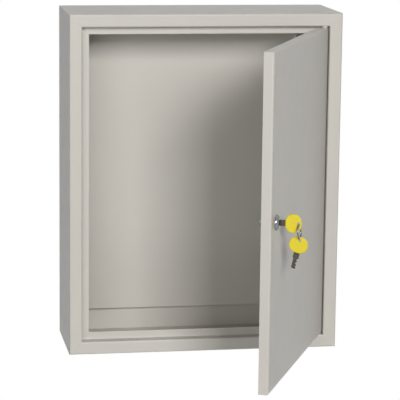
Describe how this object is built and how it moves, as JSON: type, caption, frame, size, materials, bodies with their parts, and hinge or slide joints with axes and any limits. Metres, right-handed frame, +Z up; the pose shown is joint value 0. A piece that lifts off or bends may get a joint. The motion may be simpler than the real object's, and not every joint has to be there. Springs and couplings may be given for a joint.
{
  "type": "wall enclosure",
  "caption": "Wall-hung sheet-steel enclosure with a folded front frame, inset hinged door on a cam lock with keys, and a bare mounting plate inside.",
  "frame": {"origin": "middle of the cabinet's rear face, which lies on the wall", "axes": "+X to the hinge side of the door, +Y into the wall, +Z up"},
  "size_m": [0.4, 0.4675, 0.5018],
  "materials": {
    "powder_coat": "fine-textured light grey powder coat",
    "zinc_steel": "bright zinc plate",
    "chrome_zinc": "chrome plate",
    "nickel_steel": "black-nickel-plated steel",
    "yellow_plastic": "moulded yellow plastic",
    "nylon": "plain moulded nylon",
    "black_rubber": "matt moulded rubber"
  },
  "bodies": {
    "cabinet": {"body_wrap": "powder_coat", "top_panel": "powder_coat", "bottom_panel": "powder_coat", "mounting_plate": "powder_coat", "plate_studs": "zinc_steel", "plate_spacers": "zinc_steel", "plate_washers": "zinc_steel", "plate_nuts": "zinc_steel", "cabinet_earth_stud": "zinc_steel", "cabinet_earth_washer": "zinc_steel", "cabinet_earth_nut": "zinc_steel", "hinge_plates": "powder_coat", "hinge_pins": "zinc_steel", "hinge_washers": "nylon", "cable_grommets": "black_rubber"},
    "door": {"door_pan": "powder_coat", "door_hinge_brackets": "powder_coat", "door_earth_stud": "zinc_steel", "door_earth_washer": "zinc_steel", "door_earth_nut": "zinc_steel", "lock_housing": "chrome_zinc", "lock_washer": "zinc_steel", "lock_nut": "zinc_steel"},
    "lock_barrel": {"lock_core": "chrome_zinc", "lock_cam": "zinc_steel", "cam_washer": "zinc_steel", "cam_screw": "zinc_steel"},
    "key": {"key_blade": "nickel_steel", "key_head": "yellow_plastic"},
    "key_ring": {"split_ring": "chrome_zinc"},
    "spare_key": {"spare_key_blade": "nickel_steel", "spare_key_head": "yellow_plastic"}
  },
  "joints": [
    {"name": "door_hinge", "type": "hinge", "parent": "cabinet", "child": "door", "pos_m": [0.174, -0.145, 0], "axis": [0, 0, 1], "range_deg": [-65.5, 44.5]},
    {"name": "lock_turn", "type": "hinge", "parent": "door", "child": "lock_barrel", "pos_m": [0.0446, -0.44099, 0], "axis": [-0.91, 0.4147, 0], "range_deg": [0, 90]},
    {"name": "key_pull", "type": "slide", "parent": "lock_barrel", "child": "key", "axis": [0.91, -0.4147, 0], "range_m": [0, 0.016]},
    {"name": "ring_swing", "type": "hinge", "parent": "key", "child": "key_ring", "pos_m": [0.07218, -0.45356, 0], "axis": [0.4147, 0.91, 0], "range_deg": [-60, 10]},
    {"name": "spare_key_swing", "type": "hinge", "parent": "key_ring", "child": "spare_key", "pos_m": [0.07387, -0.45433, -0.02132], "axis": [0.4147, 0.91, 0], "range_deg": [-30, 10]}
  ]
}
